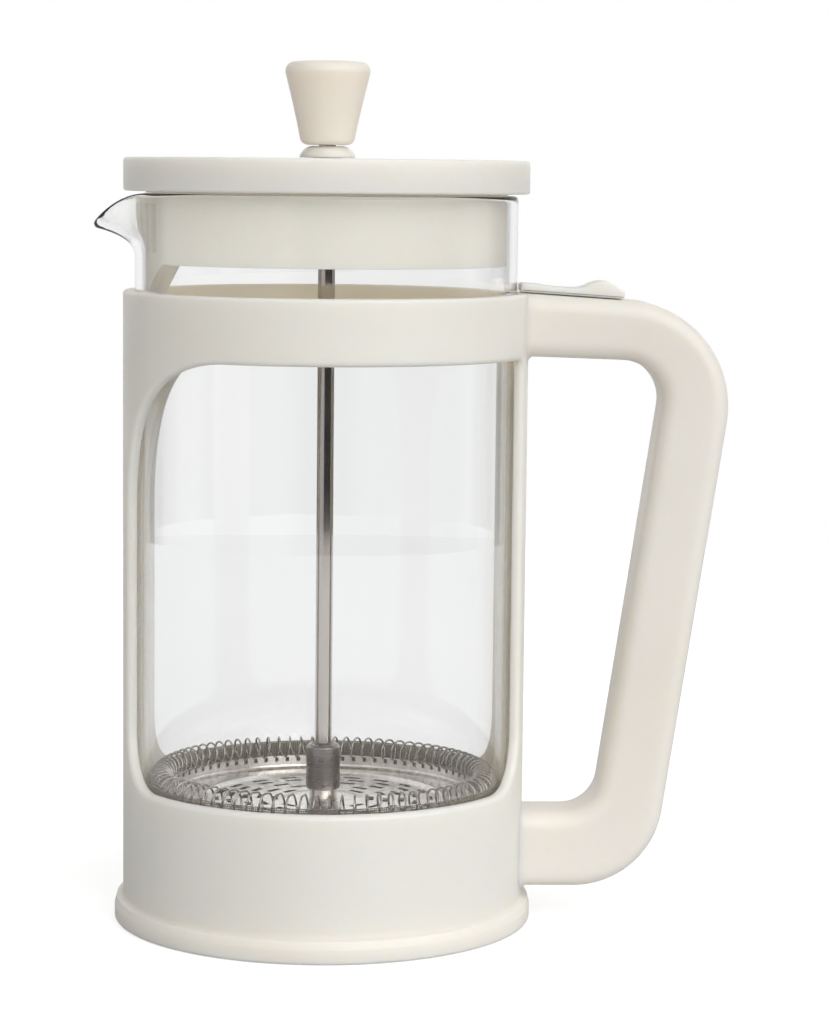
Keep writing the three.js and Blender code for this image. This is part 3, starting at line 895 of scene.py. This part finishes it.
def skirt_angles():
    """Stations round the skirt from the handle side, and which of them start half a slot."""
    angles, slots = [], set()
    spot = 0.0
    for k in range(SKIRT_SLOTS):
        middle = pi + (k - (SKIRT_SLOTS - 1) / 2) * SLOT_PITCH
        low, high = middle - SLOT_HALF_ANGLE, middle + SLOT_HALF_ANGLE
        parts = max(1, round((low - spot) / SKIRT_STEP))
        angles += between(spot, low, parts)[:-1]
        slots.update((len(angles), len(angles) + 1))
        angles += [low, (low + high) / 2]
        spot = high
    return angles + between(spot, TAU, round((TAU - spot) / SKIRT_STEP)), slots


def make_strainer():
    """The lid's inner skirt, with the strainer slots behind the spout."""
    angles, slots = skirt_angles()
    slot_low, slot_high = SKIRT_BOTTOM + 3, LID_BOTTOM - 3
    levels = [0, 0.08, 0.35, 0.65, 1, slot_low, 176, 179, 182, slot_high, LID_BOTTOM - 1, LID_BOTTOM]

    def place(angle, level, side):
        turned = angle if angle <= pi else angle - TAU
        edge = skirt_edge(turned)
        z = edge + (SKIRT_BOTTOM + 1 - edge) * level if level <= 1 else level
        radius = SKIRT_R if side else SKIRT_R - SKIRT_WALL
        groove = abs(abs(turned) - pi + GROOVE_AT)
        if side and groove < GROOVE_HALF:
            radius -= GROOVE_DEPTH * (1 - groove / GROOVE_HALF)
        return around(radius, angle, z)

    def is_solid(i, j):
        return not (i in slots and slot_low <= levels[j] < slot_high)

    wall = cells(angles, levels, is_solid, place)
    skirt = make_piece("lid_skirt", wall, SKIRT_CREAM, "lid", "lid_plastic", ["lid_strainer"])
    bevel = skirt.modifiers.new("edges", "BEVEL")
    bevel.width = 0.35 * MM
    bevel.segments = 3
    bevel.limit_method = "ANGLE"
    bevel.angle_limit = radians(40)
    bevel.harden_normals = True
    flange_r = LID_R - LID_SHELL - 0.4
    disc = oblong(LID_HOLE_R, flange_r, LID_BOTTOM, LID_BOTTOM + 2, (0.2, 0.3, 0.3, 0.2), 3)
    make_piece("strainer_plate", lathe(disc), SKIRT_CREAM, "lid", "lid_plastic", ["lid_strainer"])


def hexed(point, corner_r):
    """Presses a round nut's outside in to six flats with soft corners."""
    x, y, z = point
    if hypot(x, y) < corner_r * 0.75:
        return point
    angle = (atan2(y, x) + pi / 6) % (pi / 3) - pi / 6
    flat = min(1.0, cos(pi / 6) / cos(angle) * 1.03)
    return (x * flat, y * flat, z)


def make_bush():
    """The glossy collar that the rod slides through, and the nut that holds it below the lid."""
    low, high = mm_box("lid_bush")
    seat = LID_TOP + 0.3
    bore, stem = 2.45, LID_HOLE_R - 0.3
    dome = [(7.1, 0), (7.15, 0.25), (7.05, 0.7), (6.75, 1.25), (6.25, 1.85), (5.6, 2.4), (4.9, 2.78),
            (4.2, 2.93)]
    profile = [(bore, low.z), (stem - 0.4, low.z), (stem, low.z + 0.4), (stem, seat)]
    profile += [(radius, seat + rise) for radius, rise in dome]
    profile += [(bore + 0.35, high.z), (bore, high.z - 0.3)]
    collar = lathe(profile, 96)
    make_piece("lid_collar", collar, GLOSS_CREAM, "lid_guide", "gloss_cream", ["lid_bush"])
    low, high = mm_box("lid_nut")
    points, faces = lathe(oblong(LID_HOLE_R, high.x, low.z, high.z, (0.2, 0.5, 0.3, 0.2), 4), 96)
    nut = ([hexed(p, high.x) for p in points], faces)
    make_piece("collar_nut", nut, GLOSS_CREAM, "lid_guide", "gloss_cream", ["lid_nut"])


# ---------- plunger

KNOB_LOW, KNOB_HIGH = mm_box("knob")
PLATE_LOW, PLATE_HIGH = mm_box("spiral_plate")
MESH_LOW, MESH_HIGH = mm_box("filter_mesh")
RING_LOW, RING_HIGH = mm_box("rim_spring")
SHEET = 0.6
PLATE_TOP = PLATE_LOW.z + SHEET
PLATE_FLAT = 40
PLATE_BORE = 2.5
BEAD_R, BEAD_HALF, BEAD_HEIGHT = 31.5, 1.3, 0.8
SLOT_ROWS = [(12.5, 8), (16.5, 12), (20.5, 14), (24.5, 18), (28.0, 20)]
BEND = 1.6
RING_COIL_R = (RING_HIGH.z - RING_LOW.z) / 2
COILS = 85
THREAD_PITCH = 0.7
THREAD_DEPTH = 0.28
CROSS_HUB, CROSS_RIM = 12, 36


def make_knob():
    """The tapered knob, rounded at both ends, with a cavity for its thread insert."""
    foot, cavity_r = KNOB_LOW.z, 3.8
    crown = (8.45, KNOB_HIGH.z - 2.6, 2.4)
    profile = [(0, foot + 13.6), (cavity_r, foot + 13.6), (cavity_r, foot + 0.3), (cavity_r + 0.3, foot)]
    profile += arc(5.05, foot + 2, 2, -90, -12, 8)
    lower, upper = Vector(profile[-1]), Vector(on_arc(*crown, -12))
    for k in range(1, 10):
        spot = lower.lerp(upper, k / 10)
        profile.append((spot.x - 0.12 * sin(pi * k / 10), spot.y))
    profile += arc(*crown, -12, 80, 10)
    profile += [(7.2, KNOB_HIGH.z - 0.08), (4.0, KNOB_HIGH.z - 0.02), (0, KNOB_HIGH.z)]
    knob = lathe(profile, 160, closed=False)
    make_piece("knob_body", knob, KNOB_CREAM, "plunger", "knob_plastic", ["knob"])


def make_rod():
    """The polished rod, with a thread cut at its foot."""
    low, high = mm_box("plunger_rod")
    radius = high.x
    profile = [(0, low.z), (radius - 0.4, low.z), (radius, low.z + 0.4)]
    thread_top = low.z + 5.2
    z = low.z + 0.8
    while z < thread_top:
        profile += [(radius, z), (radius - THREAD_DEPTH, z + 0.25), (radius, z + 0.5)]
        z += THREAD_PITCH
    profile += [(radius, z) for z in between(thread_top + 0.6, high.z - 11.4, 16)]
    profile += [(radius, high.z - 0.5), (radius - 0.5, high.z), (0, high.z)]
    rod = lathe(profile, 64, closed=False)
    make_piece("plunger_shaft", rod, POLISHED, "plunger", "polished_steel", ["plunger_rod"])


def make_hub():
    """The turned sleeve on the rod's foot: a narrow neck, a chamfered barrel and a dished top."""
    low, high = mm_box("hub_sleeve")
    barrel, neck, bore = high.x, 3.6, 2.5
    shoulder = PLATE_TOP + 2.8
    profile = rounded([
        (bore, low.z, 0.1), (neck, low.z, 0.2), (neck, shoulder, 0.3), (barrel - 0.1, shoulder, 0.15),
        (barrel, shoulder + 0.5, 0.2), (barrel, high.z - 0.8, 0.25), (barrel - 0.8, high.z, 0.25),
        (bore + 0.9, high.z, 0.15), (bore, high.z - 0.7, 0.1),
    ], steps=3, closed=True)
    hub = make_piece("hub_barrel", lathe(profile, 96), TURNED, "plunger", "brushed_steel", ["hub_sleeve"])
    hub.data.materials.append(POLISHED)
    for face in hub.data.polygons:
        if face.center.z < shoulder * MM:
            face.material_index = 1


def plate_profile(r):
    """The plate's upper surface at a radius, with its raised bead and its dished middle."""
    bead = BEAD_HEIGHT * max(0.0, 1 - ((r - BEAD_R) / BEAD_HALF) ** 2)
    step = 0.35 / (1 + exp((r - 9.5) * 3))
    return PLATE_TOP + bead + step


def make_plate():
    """The spiral plate: a disc with a raised bead and rows of short slots."""
    steps = 720
    angles = between(0, TAU, steps)
    rows = [(r - 0.8, r + 0.8, count, 0.4 * k, 2.3 / r) for k, (r, count) in enumerate(SLOT_ROWS)]
    radii = [PLATE_BORE, 4, 6, 8, 8.7, 9.3, 10, 11]
    for low, high, _, _, _ in rows:
        radii += [low, high]
    radii += [29.6, *between(BEAD_R - BEAD_HALF, BEAD_R + BEAD_HALF, 8), 34, 36, 38, PLATE_FLAT]

    def is_solid(i, j):
        angle, radius = angles[i] + TAU / steps / 2, (radii[j] + radii[j + 1]) / 2
        for low, high, count, turn, half in rows:
            if low < radius < high:
                aside = (angle - turn + pi / count) % (TAU / count) - pi / count
                return abs(aside) >= half
        return True

    def place(angle, radius, side):
        return around(radius, angle, plate_profile(radius) - (0 if side else SHEET))

    disc = cells(angles, radii, is_solid, place)
    make_piece("filter_plate", disc, SHEET_STEEL, "plunger", "polished_steel", ["spiral_plate"])


def make_plate_rim():
    """The plate's upturned rim, with the holes that the coil is threaded through."""
    rim_r, rim_top = PLATE_HIGH.x, PLATE_HIGH.z - PLATE_TOP
    bend_r = rim_r - BEND
    path = [(PLATE_FLAT, 0.0), ((PLATE_FLAT + bend_r) / 2, 0.0)]
    path += arc(bend_r, BEND, BEND, -90, 0, 6)
    hole_level = len(path)
    hole_low = RING_LOW.z - PLATE_TOP - 0.35
    path += [(rim_r, rise) for rise in (hole_low, hole_low + 1.2, rim_top - 0.2, rim_top)]
    parts = 6
    angles = between(0, TAU, COILS * parts)

    def place(angle, level, side):
        radius, rise = path[level]
        along = heading(path, level)
        inward = 0 if side else SHEET
        radius -= along.y * inward
        rise += along.x * inward - SHEET
        if level == len(path) - 1 and not side:
            rise = path[level][1] - SHEET
        return around(radius, angle, PLATE_TOP + max(rise, -SHEET))

    def is_solid(i, j):
        return not (j == hole_level and i % parts in (2, 3))

    rim = cells(angles, list(range(len(path))), is_solid, place)
    make_piece("plate_rim", rim, SHEET_STEEL, "plunger", "polished_steel", ["spiral_plate"])


def spring_height(angle):
    """How far the coil stands above its seat, which varies a little round the rim."""
    return 0.9 * cos(angle + radians(115)) + 0.25 * sin(3 * angle + 0.6)


def make_spring():
    """The coil round the filter's edge: one long spring of fine wire, joined end to end."""
    wire_r, gap, per_coil = 0.27, 0.05, 22
    centre_r = RING_HIGH.x - RING_COIL_R
    centre_z = (RING_LOW.z + RING_HIGH.z) / 2
    coil_r = RING_COIL_R - wire_r - gap
    path = []
    for i in range(COILS * per_coil):
        angle = TAU * i / (COILS * per_coil)
        turn = TAU * i / per_coil
        tall = 1 + 0.1 * spring_height(angle)
        z = RING_LOW.z + wire_r + gap + coil_r * tall * (1 + sin(turn))
        z = min(z, centre_z + coil_r * 1.12)
        path.append(Vector(around(centre_r + coil_r * cos(turn), angle, z)))
    coil = wire(path, wire_r, 7, True)
    names = ("plunger", "spring_steel", ["rim_spring"])
    make_piece("edge_spring", coil, SPRING, *names, crease=70, weld=False)


def make_mesh():
    """The wire cloth: a flat disc, and a real weave where it turns up round the edge."""
    wire_r, lift, pitch = 0.125, 0.115, 0.5
    middle = MESH_HIGH.x - wire_r - lift
    bottom = MESH_LOW.z + wire_r + lift
    top = MESH_HIGH.z - wire_r
    uprights = int(TAU * middle / pitch / 2) * 2
    path = [(middle - BEND - 1.5, bottom)] + arc(middle - BEND, bottom + BEND, BEND, -90, 0, 3)
    start = path[-1][1]
    path += [(middle, z) for z in between(start, top, round((top - start) / pitch))[1:]]

    def crossing(i, level, sign):
        """Where a wire passes on one side or the other of the wire that it crosses."""
        (radius, height), along = path[level], heading(path, level)
        sway = sign * lift * (1 if (i + level) % 2 else -1)
        return Vector(around(radius + along.y * sway, TAU * i / uprights, height - along.x * sway))

    levels = range(len(path))
    hoops = [[crossing(i, level, 1) for i in range(uprights)] for level in levels]
    strands = [[crossing(i, level, -1) for level in levels] for i in range(uprights)]
    shapes = [wire(hoop, wire_r, 4, True) for hoop in hoops]
    shapes += [wire(strand, wire_r, 4, False) for strand in strands]
    names = ("plunger", "woven_steel", ["filter_mesh"])
    make_piece("mesh_edge", joined(*shapes), MESH_WIRE, *names, crease=70, weld=False)
    disc = oblong(PLATE_BORE, middle - BEND, MESH_LOW.z, MESH_LOW.z + 0.4, (0, 0.1, 0.1, 0), 2)
    make_piece("mesh_disc", lathe(disc), WEAVE, *names)


def make_cross_plate():
    """The plate under the mesh, with six openings between its spokes, and its boss."""
    low, high = mm_box("cross_plate")
    angles = between(0, TAU, 360)
    radii = [PLATE_BORE, 6, 9, CROSS_HUB, 14, 20, 28, 34, CROSS_RIM, 38, high.x]

    def is_solid(i, j):
        if not CROSS_HUB <= radii[j] < CROSS_RIM:
            return True
        return abs(angles[i] % (pi / 3) - pi / 6) > radians(22.5)

    def place(angle, radius, side):
        return around(radius, angle, high.z if side else low.z)

    plate = cells(angles, radii, is_solid, place)
    make_piece("cross_disc", plate, POLISHED, "plunger", "polished_steel", ["cross_plate"])
    low, high = mm_box("cross_boss")
    profile = rounded([
        (0, low.z, 0), (high.x, low.z, 0.7), (high.x, high.z, 0.2), (PLATE_BORE, high.z, 0.1),
        (PLATE_BORE, low.z + 0.8, 0.1), (0, low.z + 0.8, 0),
    ], steps=4)
    boss = lathe(profile, 72, closed=False)
    make_piece("cross_nut", boss, TURNED, "plunger", "brushed_steel", ["cross_boss"])


def dress_insert():
    """The brass insert keeps its CAD shape and takes a brass finish."""
    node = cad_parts["knob_insert"]
    node.data.materials.clear()
    node.data.materials.append(BRASS)


# ---------- camera, light and floor

CAMERA_AT = (0, -0.78699, 0.19365)
CAMERA_YAW, CAMERA_PITCH, CAMERA_ROLL = [radians(a) for a in (1.68, 6.451, 0.585)]


def make_camera():
    """A view of the front from slightly above, with the handle on the right."""
    yaw, pitch, roll = CAMERA_YAW, CAMERA_PITCH, CAMERA_ROLL
    forward = Vector((*around(cos(pitch), QUARTER - yaw, 0)[:2], -sin(pitch)))
    level = Vector((cos(yaw), -sin(yaw), 0))
    upright = level.cross(forward)
    right = cos(roll) * level + sin(roll) * upright
    up = cos(roll) * upright - sin(roll) * level
    camera = make_object("camera", bpy.data.cameras.new("camera"))
    camera.data.sensor_width = 36
    camera.data.lens = 106.4
    camera.data.clip_start = 0.01
    turn = Matrix((right, up, -forward)).transposed().to_4x4()
    camera.matrix_world = Matrix.Translation(CAMERA_AT) @ turn
    bpy.context.scene.camera = camera


LOW_BAND = [
    (-180, 0.95), (-150, 0.95), (-140, 0.25), (-122, 0.12), (-112, 0.66), (-25, 0.66), (-12, 0.05),
    (85, 0.04), (95, 0.5), (112, 0.5), (122, 0.12), (140, 0.25), (150, 0.95), (180, 0.95),
]
SOFT_BOXES = [(30, 20, 3.5, 2.66), (0, 90, 3, 0.45), (-72, 6, 4, 0.26)]
ROOM_LIGHT = 0.12
BACKDROP = 0.85
SEEN_THROUGH_GLASS = 0.93


def lobe(sky, azimuth, elevation, sharpness, strength):
    """A soft box as a smooth patch of light. Azimuth 0 is the camera's side and 90 is +X."""
    a, e = radians(azimuth), radians(elevation)
    middle = (sin(a) * cos(e), -cos(a) * cos(e), sin(e))
    dot = sky.sum("VectorMath", "DOT_PRODUCT", sky.place, middle)["Value"]
    facing = sky.math("MAXIMUM", dot, 0.0)
    return sky.math("MULTIPLY", sky.math("POWER", facing, sharpness), strength)


def make_world():
    """Soft boxes above, a bright backdrop behind, and panels and dark gaps at the sides.

    The light is built from the direction alone.
    """
    world = bpy.data.worlds.new("studio")
    bpy.context.scene.world = world
    world.use_nodes = True
    sky = Nodes(world.node_tree, "Generated")
    split = sky.node("SeparateXYZ")
    sky.put(sky.place, split.inputs[0])
    x, y, z = split.outputs
    high = ROOM_LIGHT
    for box in SOFT_BOXES:
        high = sky.math("ADD", lobe(sky, *box), high)
    behind = sky.math("MULTIPLY", sky.spread(y, 0, 1, 0.45, 0.85, "SMOOTHSTEP"), BACKDROP)
    behind = sky.math("MULTIPLY", behind, sky.spread(z, 0, 1, 0.9, 0.5, "SMOOTHSTEP"))
    high = sky.math("ADD", high, behind)
    paths = sky.node("LightPath")
    clear = sky.math("MULTIPLY", paths.outputs["Is Transmission Ray"], SEEN_THROUGH_GLASS)
    high = sky.math("MAXIMUM", high, clear)
    turn = sky.math("ARCTAN2", x, sky.math("MULTIPLY", y, -1.0))
    turn = sky.math("ADD", sky.math("DIVIDE", turn, TAU), 0.5)
    band = sky.colours(turn, [(azimuth / 360 + 0.5, (level,) * 3) for azimuth, level in LOW_BAND])
    light = sky.mix(sky.spread(z, 0, 1, -0.03, 0.12, "SMOOTHSTEP"), band, high, "FLOAT")
    light = sky.mix(paths.outputs["Is Camera Ray"], light, 1.0, "FLOAT")
    background = world.node_tree.nodes["Background"]
    sky.put((1, 1, 1), background.inputs["Color"])
    sky.put(light, background.inputs["Strength"])


FLOOR_RADIUS = 0.84
FLOOR_LIFT = 0.02
FLOOR_SEEN = 0.6
FLOOR_THROUGH = 0.37
FLOOR_DROP = 0.0001


def make_floor():
    """A round white table."""
    steps = 128
    ring = [around(FLOOR_RADIUS, TAU * i / steps, -FLOOR_DROP) for i in range(steps)]
    mesh = bpy.data.meshes.new("floor")
    mesh.from_pydata(ring, [], [list(range(steps))])
    floor = make_object("floor", mesh)
    look = Surface("floor_paper")
    paper = look.colours(look.noise(3), [(0.3, (0.61, 0.61, 0.61)), (0.7, (0.63, 0.63, 0.63))])
    look.set(Base_Color=paper, Roughness=0.9)
    glow = look.node("Emission")
    look.put((1, 1, 1), glow.inputs["Color"])
    rays = look.node("LightPath").outputs
    level = look.math("MULTIPLY_ADD", rays["Is Camera Ray"], FLOOR_SEEN, FLOOR_LIFT)
    level = look.math("MULTIPLY_ADD", rays["Is Transmission Ray"], FLOOR_THROUGH, level)
    look.put(level, glow.inputs["Strength"])
    look.combine("AddShader", look.shader.outputs[0], glow.outputs[0])
    mesh.materials.append(look.material)


def set_picture():
    """Display settings for a plain, bright product picture."""
    view = bpy.context.scene.view_settings
    view.view_transform = "Standard"
    view.look = "None"
    view.exposure = 0.0
    view.gamma = 1.0


for make in (
    make_camera, make_world, set_picture, make_floor, make_holder, make_handle, make_latch, make_beaker,
    make_lid_cap, make_strainer, make_bush, make_knob, make_rod, make_hub, make_plate, make_plate_rim,
    make_spring, make_mesh, make_cross_plate, dress_insert,
):
    make()
